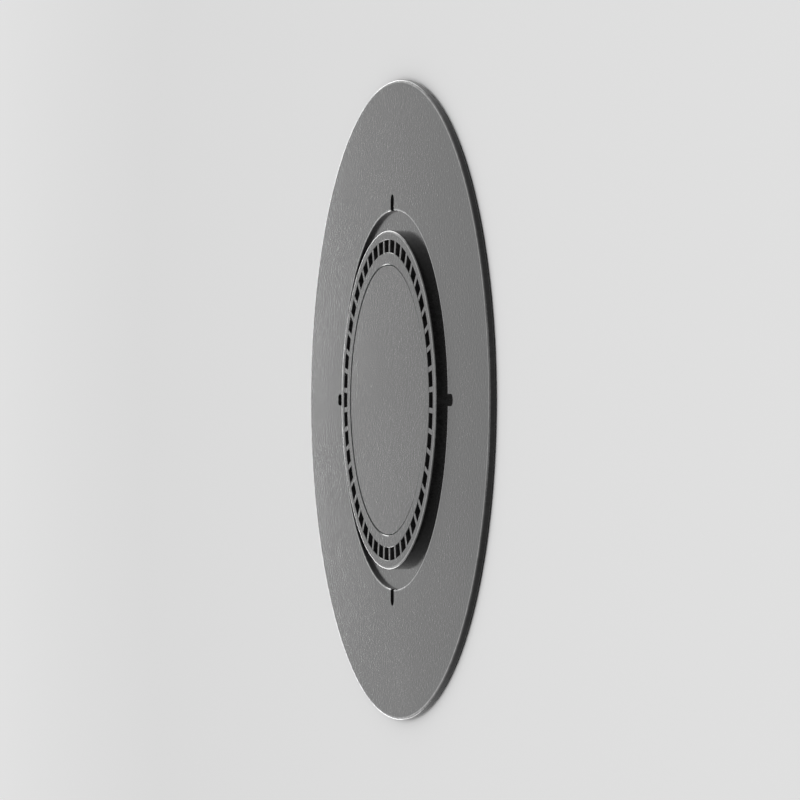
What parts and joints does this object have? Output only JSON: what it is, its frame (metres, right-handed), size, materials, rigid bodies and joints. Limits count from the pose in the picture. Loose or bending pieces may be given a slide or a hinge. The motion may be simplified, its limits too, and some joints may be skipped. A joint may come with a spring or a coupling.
{
  "type": "adhesive magnetic phone patch",
  "caption": "Thin round plastic patch that sticks to a phone and locks onto a suction base with a low toothed hub over hidden magnets.",
  "frame": {"origin": "centre of the back face of the adhesive, which lies on the phone or the table", "axes": "+Z out of the phone along the patch's axis, +Y towards the phone's top with an index notch on it, +X to the right when the patch is faced"},
  "size_m": [0.063, 0.063, 0.0014],
  "materials": {
    "adhesive": "black foam tape, matt",
    "plate": "satin black moulded plastic, fine even grain",
    "carrier": "satin black moulded plastic, fine even grain",
    "keeper": "rolled steel sheet",
    "magnet": "nickel plated"
  },
  "bodies": {
    "root": {"adhesive_disc": "adhesive", "face_plate": "plate", "magnet_carrier": "carrier", "keeper_plate": "keeper", "magnet_1": "magnet", "magnet_2": "magnet", "magnet_3": "magnet", "magnet_4": "magnet", "magnet_5": "magnet", "magnet_6": "magnet", "magnet_7": "magnet", "magnet_8": "magnet"}
  },
  "joints": []
}
